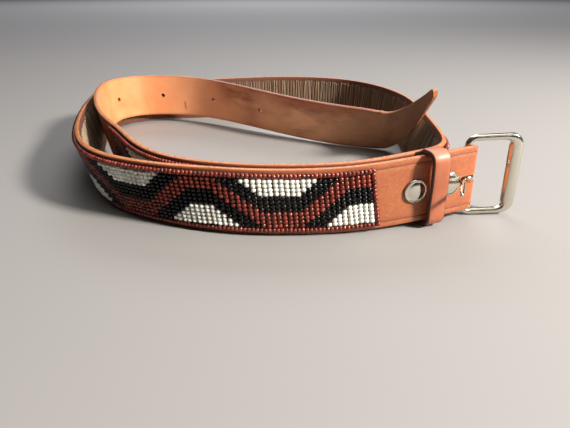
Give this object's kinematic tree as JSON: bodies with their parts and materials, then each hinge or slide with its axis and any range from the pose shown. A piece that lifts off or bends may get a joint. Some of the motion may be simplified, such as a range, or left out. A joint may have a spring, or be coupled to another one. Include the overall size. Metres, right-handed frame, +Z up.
{
  "type": "leather pin-buckle belt",
  "caption": "Leather pin-buckle belt with geometric bead embroidery, press studs and a keeper loop, lying loosely coiled on its lower edge with the pointed tail raised.",
  "frame": {"origin": "on the floor, under the middle of the coiled belt's bounding box", "axes": "+Z up, across the strap's width; the front of the coil faces -Y and the buckle is at the +X end"},
  "size_m": [0.26, 0.2292, 0.0529],
  "materials": {
    "strap_leather": "smooth tan leather, semi-matt, with a paler flesh side",
    "keeper_leather": "smooth tan leather, semi-matt",
    "beads": "opaque glossy glass beads in brick red, black and off-white",
    "nickel": "bright nickel plate"
  },
  "bodies": {
    "belt": {"strap": "strap_leather", "bead_panel": "beads", "keeper": "keeper_leather", "snap_cap_1": "nickel", "snap_cap_2": "nickel", "snap_stud_1": "nickel", "snap_stud_2": "nickel"},
    "buckle": {"buckle_frame": "nickel"},
    "prong": {"prong": "nickel"}
  },
  "joints": [
    {"name": "buckle_swing", "type": "hinge", "parent": "belt", "child": "buckle", "pos_m": [0.10348, -0.09016, 0.02055], "axis": [-0.0486, 0.0358, 0.9982], "range_deg": [0, 60]},
    {"name": "prong_swing", "type": "hinge", "parent": "buckle", "child": "prong", "pos_m": [0.10348, -0.09016, 0.02055], "axis": [-0.0486, 0.0358, 0.9982], "range_deg": [0, 104]}
  ]
}
